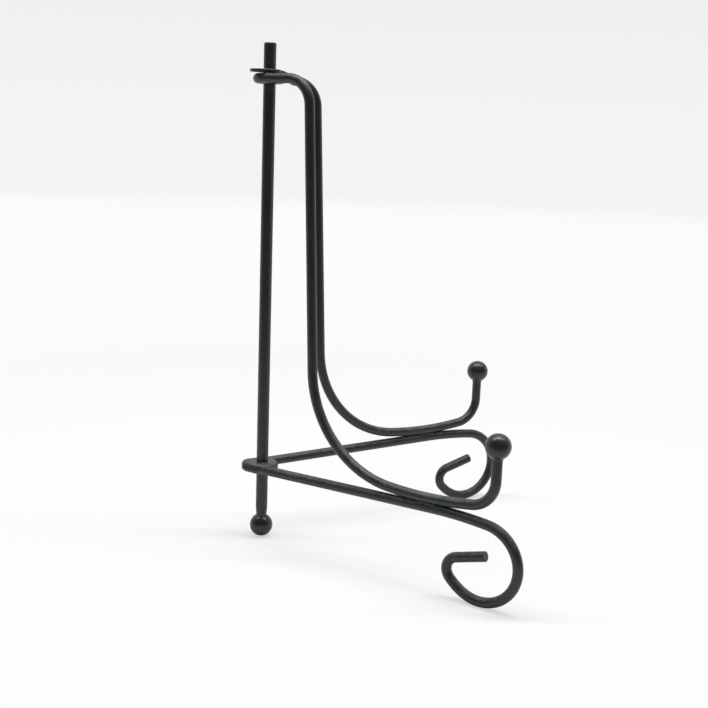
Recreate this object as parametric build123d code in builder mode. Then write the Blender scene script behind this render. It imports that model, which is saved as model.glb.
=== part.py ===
from build123d import *
from math import acos, atan2, cos, degrees, radians, sin, sqrt, tan
import os

# Folding wire stand: a rear post on a ball foot, and two welded wire wings that swing on it.
# Millimetres, +Z up. The origin is where the post's axis meets the floor, and the stand faces -Y.

# Rod, wire and balls, over their coat
post_diameter = 5.2
wire_diameter = 4.2
ball_diameter = 10.2
wing_angle = 32.2  # degrees from the stand's centre line to each wing, as it stands open

# Fits
eye_clearance = 0.1  # between the post and the inside of an eye
stack_gap = 0.4  # between two eyes that lie on each other
eye_end_gap = 0.3  # between the bent eye's cut end and its own lead
socket_clearance = 0.02  # between a rod's end and the ball that it is pressed into
weld_set = 0.3  # how far shelf and leg sink into each other where they are welded
weld_end_gap = 0.2  # between the end of the leg's weld seat and the shelf
cut_edge = 0.3  # rounding of a plain cut wire end

# Post ends
post_overhang = 10.8  # free post above the upper eyes
post_top_round = 0.6
foot_neck_diameter = 4.6
foot_neck_length = 3.0
socket_depth = 4.0

# Upper eye of the right wing, struck flat from the wire's end
struck_thickness = 1.3
struck_width = 10.0
struck_tail = 3.6  # from the post back to the centre of the round end
struck_edge = 0.5
strike_taper = 5.0  # from the flat back to round wire
strike_bend_radius = 4.0

# Lower eyes, half-lapped so that the two together are hardly higher than the wire
lap_wall = 0.15  # how far an eye stands out beyond the wire that it grows from
lap_edge = 1.6
lap_shoulder_gap = 0.65  # from an eye's rim to where the other wing's leg is full round
nose_bend_radius = 2.3  # of the two legs' centre lines, where they would meet behind the post

# Back wire, from its eye to its hook
lead_run = 0.6
top_bend_radius = 11.0
upright_length = 109.3
upright_lean = 2.7  # degrees off plumb, with the foot forward
sweep_radius = 44.0
shelf_bow_radius = 165.0
shelf_back_rise = 5.2  # degrees of bow behind the shelf's low point
shelf_front_rise = 7.8  # degrees of bow in front of it
shelf_run = 1.5
hook_bend_radius = 11.5
stem_run = 8.8

# Leg wire, from its eye to its scroll
leg_rise = 1.5  # degrees above level along the straight leg
crest_run = 1.6  # from the weld to the start of the crest
crest_radius = 184.0
leg_fall = 6.4  # degrees below level where the scroll starts
scroll_radius = 16.0
scroll_turn = 201.0
heel_radius = 23.9
heel_turn = 19.0
tip_bend_radius = 5.4
tip_turn = 118.0
tip_length = 13.7

# Derived sizes
post_radius = post_diameter / 2
wire_radius = wire_diameter / 2
ball_radius = ball_diameter / 2
eye_radius = post_radius + eye_clearance + wire_radius
eye_outer_radius = eye_radius + wire_radius
eye_turn = 360 - degrees(acos((eye_radius - wire_radius - eye_end_gap) / eye_outer_radius))
upper_step = wire_radius + stack_gap + struck_thickness / 2
lap_radius = eye_outer_radius + lap_wall
lap_thickness = wire_radius + lap_wall - stack_gap / 2
lap_step = (lap_thickness + stack_gap) / 2
lap_shoulder_radius = lap_radius + lap_shoulder_gap
nose_radius = nose_bend_radius + wire_radius + lap_wall
nose_setback = (eye_radius - nose_bend_radius) / sin(radians(wing_angle))
lean = radians(upright_lean)
back_rise = radians(shelf_back_rise)
tilt = radians(leg_rise)
fall = radians(leg_fall)

# Reaches along a wing, from the post's axis outward
# The struck wire stays flat until it is clear of the bent eye under it.
upper_strike_end = eye_outer_radius + stack_gap
strike_length = strike_taper + strike_bend_radius * tan(atan2(upper_step, strike_taper) / 2)
bend_reach = upper_strike_end + strike_length + lead_run
foot_reach = bend_reach + top_bend_radius * cos(lean) + upright_length * sin(lean)
bow_reach = foot_reach + sweep_radius * (cos(lean) - sin(back_rise))
weld_reach = bow_reach + shelf_bow_radius * (sin(back_rise) + sin(tilt))
crest_reach = weld_reach + crest_run
leg_root = wire_radius / 2  # within the lower eye

# Heights, from the floor up
scroll_height = wire_radius + scroll_radius * (1 + cos(fall))
crest_height = scroll_height + crest_radius * (cos(tilt) - cos(fall))
leg_weld_height = crest_height - crest_run * tan(tilt)
lower_eye_height = leg_weld_height - weld_reach * tan(tilt)
weld_height = leg_weld_height + (wire_radius - weld_set / 2) / cos(tilt)
shelf_weld_height = leg_weld_height + (wire_diameter - weld_set) / cos(tilt)
bow_height = shelf_weld_height + shelf_bow_radius * (cos(tilt) - cos(back_rise))
foot_height = bow_height + sweep_radius * (cos(back_rise) - sin(lean))
head_height = foot_height + upright_length * cos(lean)
upper_eye_height = head_height + top_bend_radius * (1 - sin(lean))
struck_eye_height = upper_eye_height + upper_step
post_height = struck_eye_height + struck_thickness / 2 + post_overhang

# Weld seat: the stretch where the shelf's bow dips below the top of the leg, and a little more
bow_under_radius = shelf_bow_radius + wire_radius
weld_seat_length = 2 * sqrt(weld_set * (2 * bow_under_radius - weld_set)) + 2 * weld_end_gap

LEFT, RIGHT = -1, 1
side_names = {LEFT: "left", RIGHT: "right"}
up = Vector(0, 0, 1)


def wing_outward(side):
    """Direction from the post's axis to the wing's wires, square to the wing."""
    return Vector(side * cos(radians(wing_angle)), sin(radians(wing_angle)), 0)


def wing_forward(side):
    """Direction in which a wing reaches out from the post."""
    return Vector(side * sin(radians(wing_angle)), -cos(radians(wing_angle)), 0)


def wing_plane(side):
    """Upright plane of a wing's wires: local x is the reach, local y is the height."""
    forward = wing_forward(side)
    return Plane(origin=wing_outward(side) * eye_radius, x_dir=forward, z_dir=forward.cross(up))


def eye_point(side, height, turn):
    """Point on an eye's centre line, turned back round the post from the start of its lead."""
    start = wing_outward(side) * eye_radius
    return start.rotate(Axis.Z, side * turn) + up * height


def draw_eye(side, height):
    """Open eye round the post, from its cut end to the start of its lead."""
    return ThreePointArc(
        eye_point(side, height, eye_turn),
        eye_point(side, height, eye_turn / 2),
        eye_point(side, height, 0),
    )


def leg_height(reach):
    """Height of the straight leg's centre line."""
    return lower_eye_height + reach * tan(tilt)


def draw_back(lead):
    """Back wire's run from the end of its lead to the end of its hook stem."""
    bend = JernArc(lead @ 1, lead % 1, top_bend_radius, upright_lean - 90)
    upright = Line(bend @ 1, bend @ 1 + (bend % 1) * upright_length)
    sweep_arc = JernArc(upright @ 1, upright % 1, sweep_radius, 90 - shelf_back_rise - upright_lean)
    bow = JernArc(sweep_arc @ 1, sweep_arc % 1, shelf_bow_radius, shelf_back_rise + shelf_front_rise)
    shelf = Line(bow @ 1, bow @ 1 + (bow % 1) * shelf_run)
    hook = JernArc(shelf @ 1, shelf % 1, hook_bend_radius, 90 - shelf_front_rise)
    return Line(hook @ 1, hook @ 1 + up * (stem_run + socket_depth))


def draw_scroll(leg):
    """Leg wire's run from the end of its straight leg to the cut end of its scroll."""
    crest = JernArc(leg @ 1, leg % 1, crest_radius, -leg_rise - leg_fall)
    scroll = JernArc(crest @ 1, crest % 1, scroll_radius, -scroll_turn)
    heel = JernArc(scroll @ 1, scroll % 1, heel_radius, -heel_turn)
    tip_bend = JernArc(heel @ 1, heel % 1, tip_bend_radius, -tip_turn)
    return Line(tip_bend @ 1, tip_bend @ 1 + (tip_bend % 1) * tip_length)


def weld_flat(side, waste_side):
    """Cuts a wire flat along the weld, on the side where it sinks into the other wire."""
    with BuildSketch(wing_plane(side)) as waste:
        with Locations((weld_reach, weld_height)):
            Rectangle(
                weld_seat_length,
                wire_diameter,
                rotation=leg_rise,
                align=(Align.CENTER, waste_side),
            )
    extrude(waste.sketch, amount=wire_diameter, both=True, mode=Mode.SUBTRACT)


def add_plate(height, thickness, rounds):
    """Flat plate about the post, drawn tight round a few discs given by centre and radius."""
    with BuildSketch(Plane(origin=up * height)) as outline:
        for centre, radius in rounds:
            with Locations((centre.X, centre.Y)):
                Circle(radius)
        make_hull()
    return extrude(outline.sketch, amount=thickness / 2, both=True)


def pierce(height, thickness):
    """Bores a plate for the post."""
    with BuildSketch(Plane(origin=up * height)) as bore:
        Circle(post_radius + eye_clearance)
    extrude(bore.sketch, amount=thickness, both=True, mode=Mode.SUBTRACT)


def add_struck_eye(side):
    """Upper eye that lies on the other wing's: struck flat, rounded at its rim and necked to the wire."""
    neck = wing_outward(side) * eye_radius + wing_forward(side) * (upper_strike_end - wire_radius)
    tail = wing_forward(side) * -struck_tail
    rounds = [(Vector(), struck_width / 2), (tail, struck_width / 2), (neck, wire_radius)]
    plate = add_plate(struck_eye_height, struck_thickness, rounds)
    fillet(plate.edges().filter_by(Plane.XY), struck_edge)
    pierce(struck_eye_height, struck_thickness)


def add_lapped_eye(side):
    """Lower eye with a nose behind the post, half as high as the wire and rounded on its outer face."""
    height = lower_eye_height + side * lap_step
    rounds = [(Vector(), lap_radius), (Vector(0, nose_setback), nose_radius)]
    plate = add_plate(height, lap_thickness, rounds)
    rims = plate.edges().filter_by(Plane.XY).group_by(Axis.Z)
    outer_rim = rims[-1] if side == RIGHT else rims[0]
    fillet(outer_rim, lap_edge)
    pierce(height, lap_thickness)


def halve_leg(side):
    """Cuts away the half of a leg's height that the other wing's eye needs to swing past it."""
    with BuildSketch(Plane(origin=up * (lower_eye_height + side * stack_gap / 2))) as waste:
        Circle(lap_shoulder_radius)
    extrude(waste.sketch, amount=-side * wire_diameter, mode=Mode.SUBTRACT)


def strike_flat(side):
    """Takes the upper wire's end down to its struck eye's thickness, with a taper back to round wire."""
    taper_end = upper_strike_end + strike_length
    for face in (-1, 1):
        flat = struck_eye_height + face * struck_thickness / 2
        clear = struck_eye_height + face * 2 * wire_diameter
        with BuildSketch(wing_plane(side)) as waste:
            with BuildLine():
                Polyline(
                    (0, flat),
                    (upper_strike_end, flat),
                    (taper_end, upper_eye_height + face * wire_radius),
                    (taper_end, clear),
                    (0, clear),
                    close=True,
                )
            make_face()
        extrude(waste.sketch, amount=wire_diameter, both=True, mode=Mode.SUBTRACT)


def save(piece, name):
    """Labels a finished piece and writes its file."""
    piece.part.label = name
    export_step(piece.part, f"parts/{name}.step")


os.makedirs("parts", exist_ok=True)

# Rear post
foot_seat = ball_diameter - socket_depth
with BuildPart() as rear_post:
    with BuildSketch(Plane.XZ):
        with BuildLine():
            Polyline(
                (0, foot_seat),
                (foot_neck_diameter / 2, foot_seat),
                (foot_neck_diameter / 2, ball_diameter),
                (post_radius, ball_diameter + foot_neck_length),
                (post_radius, post_height),
                (0, post_height),
                close=True,
            )
        make_face()
    revolve(axis=Axis.Z)
    fillet(rear_post.edges().sort_by(Axis.Z)[-1], post_top_round)
save(rear_post, "rear_post")

# Rear foot ball
with BuildPart() as rear_foot_ball:
    with Locations((0, 0, ball_radius)):
        Sphere(ball_radius)
    with BuildSketch(Plane.XY.offset(foot_seat)):
        Circle(foot_neck_diameter / 2 + socket_clearance)
    extrude(amount=ball_diameter, mode=Mode.SUBTRACT)
save(rear_foot_ball, "rear_foot_ball")

# Wings
for side in (LEFT, RIGHT):
    plane = wing_plane(side)

    # Back wire: eye, lead, upright, shelf and hook stem
    # The left eye is bent round the post, and the right one is struck flat and lies on it.
    with BuildPart() as back_wire:
        if side == RIGHT:
            add_struck_eye(side)
        with BuildLine(plane) as back_line:
            if side == LEFT:
                draw_eye(side, upper_eye_height)
                lead = Line((0, upper_eye_height), (bend_reach, upper_eye_height))
            else:
                lead = FilletPolyline(
                    (upper_strike_end - wire_radius, struck_eye_height),
                    (upper_strike_end, struck_eye_height),
                    (upper_strike_end + strike_taper, upper_eye_height),
                    (bend_reach, upper_eye_height),
                    radius=strike_bend_radius,
                )
            stem = draw_back(lead)
        with BuildSketch(Plane(origin=stem @ 1, z_dir=stem % 1)):
            Circle(wire_radius)
        sweep(path=back_line.wires()[0])
        weld_flat(side, Align.MAX)
        if side == RIGHT:
            strike_flat(side)
    save(back_wire, f"{side_names[side]}_back_wire")

    # Hook ball, pressed on the stem
    with BuildPart() as hook_ball:
        with Locations(stem @ 1 + up * (ball_radius - socket_depth)):
            Sphere(ball_radius)
        with BuildSketch(Plane(stem @ 1)):
            Circle(wire_radius + socket_clearance)
        extrude(amount=-ball_diameter, mode=Mode.SUBTRACT)
    save(hook_ball, f"{side_names[side]}_hook_ball")

    # Leg wire: half-lapped eye, straight leg and scroll foot
    with BuildPart() as leg_wire:
        add_lapped_eye(side)
        with BuildLine(plane) as leg_line:
            leg = Line((leg_root, leg_height(leg_root)), (crest_reach, crest_height))
            tip = draw_scroll(leg)
        with BuildSketch(Plane(origin=tip @ 1, z_dir=tip % 1)):
            Circle(wire_radius)
        sweep(path=leg_line.wires()[0])
        weld_flat(side, Align.MIN)
        end_rims = leg_wire.edges().filter_by(GeomType.CIRCLE)
        fillet(end_rims.sort_by_distance(tip @ 1)[0], cut_edge)
        halve_leg(side)
    save(leg_wire, f"{side_names[side]}_leg_wire")
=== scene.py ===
import bpy
from math import cos, radians, sin, sqrt
from mathutils import Matrix, Vector


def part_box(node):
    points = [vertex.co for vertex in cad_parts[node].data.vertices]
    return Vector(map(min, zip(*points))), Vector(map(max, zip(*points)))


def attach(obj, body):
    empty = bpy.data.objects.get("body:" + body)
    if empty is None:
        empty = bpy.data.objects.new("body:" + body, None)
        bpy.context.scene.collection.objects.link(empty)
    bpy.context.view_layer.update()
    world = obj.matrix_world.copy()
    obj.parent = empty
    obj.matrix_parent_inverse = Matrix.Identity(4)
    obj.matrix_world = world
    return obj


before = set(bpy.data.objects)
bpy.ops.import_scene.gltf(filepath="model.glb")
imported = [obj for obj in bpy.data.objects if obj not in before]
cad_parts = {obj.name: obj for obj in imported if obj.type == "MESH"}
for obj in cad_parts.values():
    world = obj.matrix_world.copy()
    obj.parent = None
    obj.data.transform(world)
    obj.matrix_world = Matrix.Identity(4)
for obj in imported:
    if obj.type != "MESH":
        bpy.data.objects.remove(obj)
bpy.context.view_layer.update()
bpy.ops.object.select_all(action="DESELECT")

mm = 0.001

# Sizes of the stand over its coat, as in its drawing
wire_radius = 2.1 * mm
ball_radius = 5.1 * mm
eye_radius = 4.8 * mm  # of an eye's middle line, so also from the post's axis to a wing's plane
wing_angle = radians(32.2)  # of each wing from straight ahead
leg_rise = radians(1.5)  # of a leg, going forward
weld_reach = 89.43 * mm  # from the post along the wing to the middle of its weld
weld_height = 36.99 * mm
upper_eye_height = 202.6 * mm
lower_eye_height = 32.7 * mm
shelf_seat_reach = -69.5 * mm  # along Y, where an album rests on the shelves
shelf_seat_height = 41.0 * mm

wings = {"left": -1, "right": 1}  # and the side of the post that each is on, along X


# Node helpers

def new_group(name, inputs, outputs):
    """An empty shader node group with named sockets, and its two end nodes."""
    group = bpy.data.node_groups.new(name, "ShaderNodeTree")
    for label, kind in inputs:
        group.interface.new_socket(name=label, in_out="INPUT", socket_type=kind)
    for label, kind in outputs:
        group.interface.new_socket(name=label, in_out="OUTPUT", socket_type=kind)
    return group, group.nodes.new("NodeGroupInput"), group.nodes.new("NodeGroupOutput")


def put(tree, socket, value):
    """Feeds a socket from another socket or with a plain value."""
    if isinstance(value, bpy.types.NodeSocket):
        tree.links.new(value, socket)
    else:
        socket.default_value = value


def math_node(tree, operation, first, second):
    node = tree.nodes.new("ShaderNodeMath")
    node.operation = operation
    put(tree, node.inputs[0], first)
    put(tree, node.inputs[1], second)
    return node.outputs[0]


def vector_node(tree, operation, *vectors):
    """Vector arithmetic, which gives its outputs by the names Vector and Value."""
    node = tree.nodes.new("ShaderNodeVectorMath")
    node.operation = operation
    for socket, vector in zip(node.inputs, vectors):
        put(tree, socket, vector)
    return node.outputs


def split_node(tree, vector):
    """The three parts of a vector, by the names X, Y and Z."""
    node = tree.nodes.new("ShaderNodeSeparateXYZ")
    put(tree, node.inputs["Vector"], vector)
    return node.outputs


def ramp_node(tree, value, low, high, start=0.0, end=1.0):
    """A smooth change from start to end while the value goes from low to high."""
    node = tree.nodes.new("ShaderNodeMapRange")
    node.interpolation_type = "SMOOTHSTEP"
    put(tree, node.inputs["Value"], value)
    put(tree, node.inputs["From Min"], low)
    put(tree, node.inputs["From Max"], high)
    put(tree, node.inputs["To Min"], start)
    put(tree, node.inputs["To Max"], end)
    return node.outputs["Result"]


def noise_node(tree, vector, scale, detail, roughness):
    """Even noise: the scale is its number of cells in a metre."""
    node = tree.nodes.new("ShaderNodeTexNoise")
    put(tree, node.inputs["Vector"], vector)
    put(tree, node.inputs["Scale"], scale)
    put(tree, node.inputs["Detail"], detail)
    put(tree, node.inputs["Roughness"], roughness)
    return node.outputs["Fac"]


def mix_color(tree, factor, first, second):
    node = tree.nodes.new("ShaderNodeMix")
    node.data_type = "RGBA"
    put(tree, node.inputs["Factor"], factor)
    put(tree, node.inputs["A"], first)
    put(tree, node.inputs["B"], second)
    return node.outputs["Result"]


def mix_shader(tree, factor, first, second):
    node = tree.nodes.new("ShaderNodeMixShader")
    put(tree, node.inputs["Fac"], factor)
    put(tree, node.inputs[1], first)
    put(tree, node.inputs[2], second)
    return node.outputs[0]


# Effects that the coats share
peel_share = 0.6
wave_share = 0.2


def make_orange_peel():
    """Cured powder: a fine peel on slow waves, lumps where they are asked for, and a slow change of tone."""
    tree, start, end = new_group(
        "orange_peel",
        [("Vector", "NodeSocketVector"), ("Lumps", "NodeSocketFloat")],
        [("Height", "NodeSocketFloat"), ("Tone", "NodeSocketFloat")],
    )
    vector = start.outputs["Vector"]
    peel = noise_node(tree, vector, scale=1500.0, detail=2.0, roughness=0.45)
    wave = noise_node(tree, vector, scale=420.0, detail=1.0, roughness=0.4)
    lump = noise_node(tree, vector, scale=700.0, detail=3.0, roughness=0.6)
    tone = noise_node(tree, vector, scale=110.0, detail=3.0, roughness=0.6)
    peel_height = math_node(tree, "MULTIPLY", peel, peel_share)
    wave_height = math_node(tree, "MULTIPLY", wave, wave_share)
    lump_height = math_node(tree, "MULTIPLY", lump, start.outputs["Lumps"])
    height = math_node(tree, "ADD", peel_height, wave_height)
    put(tree, end.inputs["Height"], math_node(tree, "ADD", height, lump_height))
    put(tree, end.inputs["Tone"], tone)
    return tree


def make_painted_top_light():
    """Painted top light: a lighter grey in patches on what faces up, standing in for the overhead light on
    the coat.
    """
    tree, start, end = new_group(
        "painted_top_light",
        [("Vector", "NodeSocketVector"), ("Normal", "NodeSocketVector"), ("Cover", "NodeSocketFloat")],
        [("Mask", "NodeSocketFloat")],
    )
    upward = split_node(tree, start.outputs["Normal"])["Z"]
    facing = ramp_node(tree, upward, low=0.1, high=0.9)
    cloud = noise_node(tree, start.outputs["Vector"], scale=260.0, detail=3.0, roughness=0.55)
    patches = ramp_node(tree, cloud, low=0.25, high=0.75)
    # painted top light: only up-facing surfaces, broken into patches
    painted_top_patches = math_node(tree, "MULTIPLY", facing, patches)
    put(tree, end.inputs["Mask"], math_node(tree, "MULTIPLY", painted_top_patches, start.outputs["Cover"]))
    return tree


def make_rub():
    """Coat polished by rubbing round a place: Axes picks the directions that count."""
    tree, start, end = new_group(
        "rub",
        [
            ("Vector", "NodeSocketVector"),
            ("Place", "NodeSocketVector"),
            ("Axes", "NodeSocketVector"),
            ("Reach", "NodeSocketFloat"),
        ],
        [("Mask", "NodeSocketFloat")],
    )
    vector = start.outputs["Vector"]
    away = vector_node(tree, "SUBTRACT", vector, start.outputs["Place"])["Vector"]
    chosen = vector_node(tree, "MULTIPLY", away, start.outputs["Axes"])["Vector"]
    distance = vector_node(tree, "LENGTH", chosen)["Value"]
    share = math_node(tree, "DIVIDE", distance, start.outputs["Reach"])
    near = ramp_node(tree, share, low=0.5, high=1.0, start=1.0, end=0.0)
    scuff = noise_node(tree, vector, scale=620.0, detail=3.0, roughness=0.6)
    marks = ramp_node(tree, scuff, low=0.42, high=0.62)
    put(tree, end.inputs["Mask"], math_node(tree, "MULTIPLY", near, marks))
    return tree


orange_peel = make_orange_peel()
painted_top_light = make_painted_top_light()
rub = make_rub()

# Coats
coat_black = (0.0085, 0.0118, 0.0152, 1.0)
coat_grey = (0.0158, 0.02, 0.0242, 1.0)
# painted top light: the lighter grey that stands in for overhead light on what faces up
painted_top_grey = (0.105, 0.114, 0.118, 1.0)
rubbed_grey = (0.042, 0.047, 0.05, 1.0)
roughness_spread = 0.05  # to either side, with the tone
rub_cover = 0.5  # of the rubbed grey over the coat
rub_polish = 0.08  # roughness lost where the coat is rubbed
painted_top_dulling = 0.25  # roughness gained under the painted top light
bump_strength = 0.4
coat_specular = 0.5


def add_group(tree, group, values):
    """Places a node group in a material with its own values, and gives the group's outputs."""
    node = tree.nodes.new("ShaderNodeGroup")
    node.node_tree = group
    for label, value in values.items():
        put(tree, node.inputs[label], value)
    return node.outputs


def make_coat(name, roughness, peel_depth, lumps=0.0, painted_top_cover=0.8, rubs=()):
    """A black powder coat with painted top light, a lighter grey in patches on what faces up, and rub marks
    where other things touch it.
    """
    material = bpy.data.materials.new(name)
    material.use_nodes = True
    tree = material.node_tree
    shader = tree.nodes["Principled BSDF"]
    place = tree.nodes.new("ShaderNodeTexCoord").outputs["Object"]
    normal = tree.nodes.new("ShaderNodeNewGeometry").outputs["Normal"]
    skin = add_group(tree, orange_peel, {"Vector": place, "Lumps": lumps})
    painted_top_values = {"Vector": place, "Normal": normal, "Cover": painted_top_cover}
    painted_top_mask = add_group(tree, painted_top_light, painted_top_values)["Mask"]
    tone = skin["Tone"]
    color = mix_color(tree, tone, coat_black, coat_grey)
    smoothest = roughness - roughness_spread
    roughest = roughness + roughness_spread
    rough = ramp_node(tree, tone, low=0.25, high=0.75, start=smoothest, end=roughest)
    for spot, axes, reach in rubs:
        rub_values = {"Vector": place, "Place": spot, "Axes": axes, "Reach": reach}
        worn = add_group(tree, rub, rub_values)["Mask"]
        color = mix_color(tree, math_node(tree, "MULTIPLY", worn, rub_cover), color, rubbed_grey)
        rough = math_node(tree, "SUBTRACT", rough, math_node(tree, "MULTIPLY", worn, rub_polish))
    # painted top light laid over the coat on up-facing patches, with a little more roughness
    color = mix_color(tree, painted_top_mask, color, painted_top_grey)
    rough = math_node(tree, "ADD", rough, math_node(tree, "MULTIPLY", painted_top_mask, painted_top_dulling))
    bump = tree.nodes.new("ShaderNodeBump")
    bump.inputs["Strength"].default_value = bump_strength
    bump.inputs["Distance"].default_value = peel_depth
    put(tree, bump.inputs["Height"], skin["Height"])
    put(tree, shader.inputs["Base Color"], color)
    put(tree, shader.inputs["Roughness"], rough)
    put(tree, shader.inputs["Normal"], bump.outputs["Normal"])
    shader.inputs["Specular IOR Level"].default_value = coat_specular
    return material


# Rub marks: the place, the directions that count and the reach of each
round_post = (1.0, 1.0, 0.0)
along_post = (0.0, 0.0, 1.0)
across_shelf = (0.0, 1.0, 1.0)
eye_rub = ((0.0, 0.0, 0.0), round_post, 8.5 * mm)
shelf_rub = ((0.0, shelf_seat_reach, shelf_seat_height), across_shelf, 9.0 * mm)
upper_post_rub = ((0.0, 0.0, upper_eye_height), along_post, 9.0 * mm)
lower_post_rub = ((0.0, 0.0, lower_eye_height), along_post, 7.0 * mm)

wire_coat = make_coat("wire_coat", roughness=0.38, peel_depth=0.03 * mm, rubs=(eye_rub, shelf_rub))
post_coat = make_coat(
    "post_coat", roughness=0.38, peel_depth=0.04 * mm, rubs=(upper_post_rub, lower_post_rub)
)
# the balls and welds get only a little of the painted top light
ball_coat = make_coat("ball_coat", roughness=0.3, peel_depth=0.003 * mm, painted_top_cover=0.1)
weld_coat = make_coat("weld_coat", roughness=0.5, peel_depth=0.12 * mm, lumps=0.8, painted_top_cover=0.2)

node_coats = {
    "rear_post": post_coat,
    "rear_foot_ball": ball_coat,
    "left_hook_ball": ball_coat,
    "right_hook_ball": ball_coat,
    "left_back_wire": wire_coat,
    "right_back_wire": wire_coat,
    "left_leg_wire": wire_coat,
    "right_leg_wire": wire_coat,
}
for name, coat in node_coats.items():
    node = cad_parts[name]
    node.data.materials.clear()
    node.data.materials.append(coat)


# New pieces: each kind is modelled once and copied
merge_distance = 0.001 * mm


def pick(piece):
    """Makes a piece the only one selected, and the active one."""
    bpy.ops.object.select_all(action="DESELECT")
    piece.select_set(True)
    bpy.context.view_layer.objects.active = piece


def copy_piece(pattern):
    """A copy of a modelled piece, with a mesh of its own."""
    pick(pattern)
    bpy.ops.object.duplicate(linked=False)
    return bpy.context.view_layer.objects.active


def discard(pattern):
    """Takes a modelled piece away when its copies are in place."""
    pick(pattern)
    bpy.ops.object.delete()


def round_off(piece):
    """Rounds a piece off with a subdivision surface, merges doubles and turns its faces outward."""
    pick(piece)
    rounding = piece.modifiers.new("rounding", "SUBSURF")
    rounding.levels = 1
    rounding.render_levels = 1
    bpy.ops.object.modifier_apply(modifier=rounding.name)
    bpy.ops.object.mode_set(mode="EDIT")
    bpy.ops.mesh.select_all(action="SELECT")
    bpy.ops.mesh.remove_doubles(threshold=merge_distance)
    bpy.ops.mesh.normals_make_consistent(inside=False)
    bpy.ops.object.mode_set(mode="OBJECT")
    bpy.ops.object.shade_smooth()


def finish_piece(piece, name, body, place):
    """Names a piece, puts its place into its mesh, gives it the weld coat and lets it ride on a body."""
    pick(piece)
    piece.matrix_world = place
    bpy.ops.object.transform_apply(location=True, rotation=True, scale=True)
    piece.name = name
    piece.data.name = name
    piece.data.materials.append(weld_coat)
    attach(piece, body)
    piece.select_set(False)


# Weld beads, in the grooves between shelf and leg
bead_length = 9.0 * mm
bead_radius = 0.78 * mm
bead_sides = 12
bead_ripples = 6
ripple_depth = 0.2  # share of the bead's radius
bead_tip_radius = 0.14  # share of the bead's radius that is left at its ends
taper_power = 4  # the higher, the later a bead starts to thin
bead_offset = 1.28 * mm  # from the middle of the weld to a bead's centre
bead_faces = {"outer": 1, "inner": -1}


def model_weld_bead():
    """A rippled bead of weld along Z, drawn out thin at both ends."""
    bpy.ops.mesh.primitive_cylinder_add(
        vertices=bead_sides, radius=bead_radius, depth=bead_length, end_fill_type="NGON"
    )
    bead = bpy.context.object
    half_length = bead_length / 2
    cuts = 2 * bead_ripples - 1
    pitch = bead_length / (cuts + 1)
    bpy.ops.object.mode_set(mode="EDIT")
    bpy.ops.mesh.select_mode(type="EDGE")
    bpy.ops.mesh.select_all(action="DESELECT")
    bpy.ops.object.mode_set(mode="OBJECT")
    for edge in bead.data.edges:
        first, second = (bead.data.vertices[index].co.z for index in edge.vertices)
        edge.select = abs(first - second) > half_length
    bpy.ops.object.mode_set(mode="EDIT")
    bpy.ops.mesh.subdivide(number_cuts=cuts)
    bpy.ops.mesh.select_mode(type="VERT")
    for ring in range(cuts + 2):
        level = ring * pitch - half_length
        bpy.ops.mesh.select_all(action="DESELECT")
        bpy.ops.object.mode_set(mode="OBJECT")
        for vertex in bead.data.vertices:
            vertex.select = abs(vertex.co.z - level) < pitch / 4
        bpy.ops.object.mode_set(mode="EDIT")
        taper = sqrt(max(1.0 - (level / half_length) ** taper_power, bead_tip_radius ** 2))
        ripple = 1.0 if ring % 2 else 1.0 - ripple_depth
        swell = taper * ripple
        bpy.ops.transform.resize(value=(swell, swell, 1.0), center_override=(0.0, 0.0, level))
    bpy.ops.object.mode_set(mode="OBJECT")
    round_off(bead)
    return bead


bead_pattern = model_weld_bead()
for wing, side in wings.items():
    forward = Vector((side * sin(wing_angle), -cos(wing_angle), 0.0))
    outward = Vector((side * cos(wing_angle), sin(wing_angle), 0.0))
    along = forward * cos(leg_rise) + Vector((0.0, 0.0, sin(leg_rise)))
    bead_turn = along.to_track_quat("Z", "Y").to_matrix().to_4x4()
    for label, face in bead_faces.items():
        middle = outward * (eye_radius + face * bead_offset) + forward * weld_reach
        middle.z = weld_height
        bead_place = Matrix.Translation(middle) @ bead_turn
        finish_piece(copy_piece(bead_pattern), f"{wing}_weld_bead_{label}", f"{wing}_wing", bead_place)
discard(bead_pattern)

# Collars, the fillets of coat where the hook stems go into their balls.
# Each ring is given by how far it stands off the stem and off the ball.
# The first one lies inside the stem and the last one inside stem and ball, so that no edge shows.
collar_sides = 48
collar_rings = (
    (-0.15 * mm, 1.2 * mm),
    (0.03 * mm, 0.8 * mm),
    (0.14 * mm, 0.4 * mm),
    (0.3 * mm, 0.12 * mm),
    (0.5 * mm, -0.1 * mm),
    (-0.15 * mm, -0.5 * mm),
)


def model_collar():
    """A closed ring of coat under a ball whose centre is the origin."""
    rings = []
    for off_stem, off_ball in collar_rings:
        radius = wire_radius + off_stem
        rings.append((radius, -sqrt(ball_radius ** 2 - radius ** 2) - off_ball))
    radius, height = rings[0]
    bpy.ops.mesh.primitive_circle_add(
        vertices=collar_sides, radius=radius, location=(0.0, 0.0, height), fill_type="NOTHING"
    )
    collar = bpy.context.object
    bpy.ops.object.mode_set(mode="EDIT")
    bpy.ops.mesh.select_all(action="SELECT")
    for next_radius, next_height in rings[1:]:
        rise = next_height - height
        grow = next_radius / radius
        bpy.ops.mesh.extrude_edges_move(TRANSFORM_OT_translate={"value": (0.0, 0.0, rise)})
        bpy.ops.transform.resize(value=(grow, grow, 1.0), center_override=(0.0, 0.0, next_height))
        radius, height = next_radius, next_height
    bpy.ops.mesh.select_all(action="DESELECT")
    bpy.ops.mesh.select_mode(type="EDGE")
    bpy.ops.mesh.select_non_manifold()
    bpy.ops.mesh.bridge_edge_loops()
    bpy.ops.object.mode_set(mode="OBJECT")
    bpy.ops.object.transform_apply(location=True, rotation=True, scale=True)
    round_off(collar)
    return collar


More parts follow.
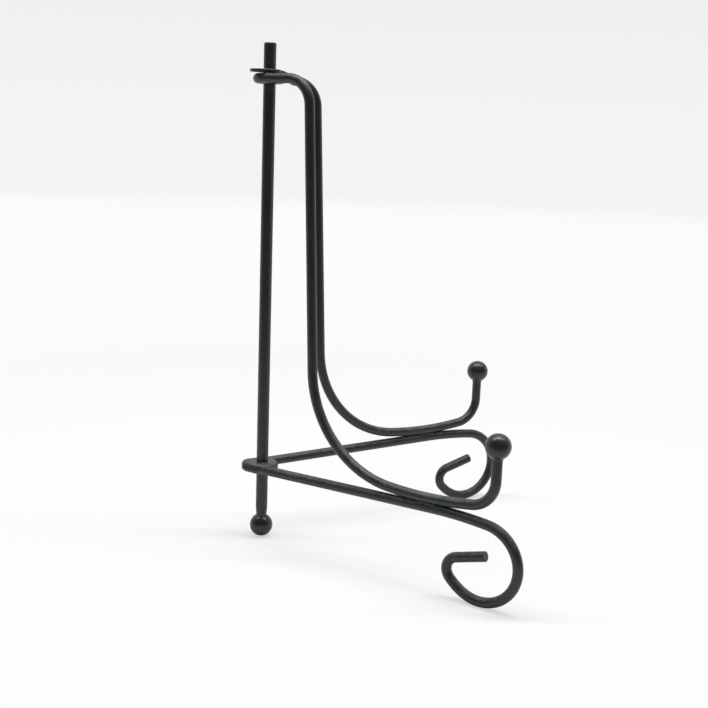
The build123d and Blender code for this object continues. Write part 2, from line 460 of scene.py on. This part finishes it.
collar_pattern = model_collar()
for wing in wings:
    low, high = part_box(f"{wing}_hook_ball")
    ball_centre = Vector(((low[0] + high[0]) / 2, (low[1] + high[1]) / 2, high[2] - ball_radius))
    collar_place = Matrix.Translation(ball_centre)
    finish_piece(copy_piece(collar_pattern), f"{wing}_ball_collar", f"{wing}_wing", collar_place)
discard(collar_pattern)


# Studio: a pale floor that ends in a pale backdrop, with a dim room behind the camera.
# Each pair of numbers says where a change starts and ends, in metres or as part of a direction.
floor_size = 24.0
floor_white = (0.92, 0.92, 0.92, 1.0)
floor_roughness = 0.9
shaded_floor = (0.22, 0.6)  # outward, from the floor's own shading to its far tone
shading_share = 0.42  # of the near floor's look that is its own shading
mirrored_floor = (0.12, 0.4)  # the same change, as the coats reflect it
floor_in_front = (-0.5, 0.05)  # along X, from the dim room's tone to the floor's, as the coats reflect it
far_floor = (1.7, 2.9)  # outward, from the floor's far tone to the backdrop's
floor_tone = 0.975
backdrop_rise = (0.0, 0.12)  # upward, from the backdrop's lower tone to its upper one
backdrop_tone = 0.9
backdrop_top_tone = 0.87
room_turn = (-0.35, 0.55)  # from the camera's side to the far side, from the dim room to the backdrop
dim_room = 0.12
fill_tone = 0.315
white = (1.0, 1.0, 1.0, 1.0)


def mirror_ray(tree, ray):
    """One for what reflections and clear things see, and nought for the rest."""
    return math_node(tree, "MAXIMUM", ray.outputs["Is Glossy Ray"], ray.outputs["Is Transmission Ray"])


def make_floor_paint():
    """Matt white near the stand, with its shadow, and a set tone further out."""
    material = bpy.data.materials.new("studio_floor")
    material.use_nodes = True
    tree = material.node_tree
    shader = tree.nodes["Principled BSDF"]
    shader.inputs["Base Color"].default_value = floor_white
    shader.inputs["Roughness"].default_value = floor_roughness
    shader.inputs["Specular IOR Level"].default_value = 0.0
    place = tree.nodes.new("ShaderNodeTexCoord").outputs["Object"]
    across = split_node(tree, place)["X"]
    away = vector_node(tree, "LENGTH", place)["Value"]
    ray = tree.nodes.new("ShaderNodeLightPath")
    seen = tree.nodes.new("ShaderNodeEmission")
    put(tree, seen.inputs["Strength"], ramp_node(tree, away, *far_floor, floor_tone, backdrop_tone))
    mirrored = tree.nodes.new("ShaderNodeEmission")
    mirrored_tone = ramp_node(tree, across, *floor_in_front, dim_room, floor_tone)
    put(tree, mirrored.inputs["Strength"], mirrored_tone)
    far_share = ramp_node(tree, away, *shaded_floor, 1.0 - shading_share, 1.0)
    seen_share = math_node(tree, "MULTIPLY", far_share, ray.outputs["Is Camera Ray"])
    mirrored_share = math_node(
        tree, "MULTIPLY", ramp_node(tree, away, *mirrored_floor), mirror_ray(tree, ray)
    )
    seen_floor = mix_shader(tree, seen_share, shader.outputs[0], seen.outputs[0])
    whole_floor = mix_shader(tree, mirrored_share, seen_floor, mirrored.outputs[0])
    put(tree, tree.nodes["Material Output"].inputs["Surface"], whole_floor)
    return material


def make_studio_world():
    """The backdrop for the camera, the room for reflections and an even fill for the rest."""
    world = bpy.data.worlds.new("studio")
    world.use_nodes = True
    tree = world.node_tree
    tree.nodes.clear()
    direction = split_node(tree, tree.nodes.new("ShaderNodeTexCoord").outputs["Generated"])
    ray = tree.nodes.new("ShaderNodeLightPath")
    backdrop = tree.nodes.new("ShaderNodeBackground")
    room = tree.nodes.new("ShaderNodeBackground")
    fill = tree.nodes.new("ShaderNodeBackground")
    for light in (backdrop, room, fill):
        light.inputs["Color"].default_value = white
    rising_tone = ramp_node(tree, direction["Z"], *backdrop_rise, backdrop_tone, backdrop_top_tone)
    put(tree, backdrop.inputs["Strength"], rising_tone)
    turning_tone = ramp_node(tree, direction["X"], *room_turn, dim_room, backdrop_tone)
    put(tree, room.inputs["Strength"], turning_tone)
    fill.inputs["Strength"].default_value = fill_tone
    unseen = mix_shader(tree, mirror_ray(tree, ray), fill.outputs[0], room.outputs[0])
    whole_sky = mix_shader(tree, ray.outputs["Is Camera Ray"], unseen, backdrop.outputs[0])
    put(tree, tree.nodes.new("ShaderNodeOutputWorld").inputs["Surface"], whole_sky)
    return world


bpy.ops.mesh.primitive_plane_add(size=floor_size, location=(0.0, 0.0, 0.0))
floor = bpy.context.object
floor.name = "studio_floor"
floor.data.materials.append(make_floor_paint())
bpy.context.scene.world = make_studio_world()

# Softbox over the stand, with a brighter middle.
# Both lamps hang a little past the lit point along X, which turns their width along Y.
lit_point = Vector((0.0, -0.06, 0.1))


def add_softbox(name, place, width, depth, watts):
    """A soft rectangular light that faces the lit point."""
    lamp = bpy.data.lights.new(name, "AREA")
    lamp.shape = "RECTANGLE"
    lamp.size = width
    lamp.size_y = depth
    lamp.energy = watts
    lamp_object = bpy.data.objects.new(name, lamp)
    bpy.context.scene.collection.objects.link(lamp_object)
    lamp_object.location = place
    lamp_object.rotation_euler = (lit_point - Vector(place)).to_track_quat("-Z", "Y").to_euler()


add_softbox("top_softbox", place=(0.02, -0.06, 1.1), width=1.6, depth=0.16, watts=10.0)
add_softbox("bright_middle", place=(0.01, -0.06, 1.08), width=0.4, depth=0.12, watts=2.0)

# Camera
camera_place = Vector((-471.2, -60.2, 181.0)) * mm
camera_yaw = radians(2.54)
camera_pitch = radians(-11.45)
camera_roll = radians(2.03)
quarter_turn = radians(90)
camera = bpy.data.objects.new("photo_camera", bpy.data.cameras.new("photo_camera"))
bpy.context.scene.collection.objects.link(camera)
camera.data.sensor_width = 36.0
camera.data.lens = 56.05
turn = Matrix.Rotation(camera_yaw - quarter_turn, 4, "Z")
dip = Matrix.Rotation(quarter_turn + camera_pitch, 4, "X")
roll = Matrix.Rotation(camera_roll, 4, "Z")
camera.matrix_world = Matrix.Translation(camera_place) @ turn @ dip @ roll
bpy.context.scene.camera = camera
bpy.context.scene.view_settings.view_transform = "Standard"
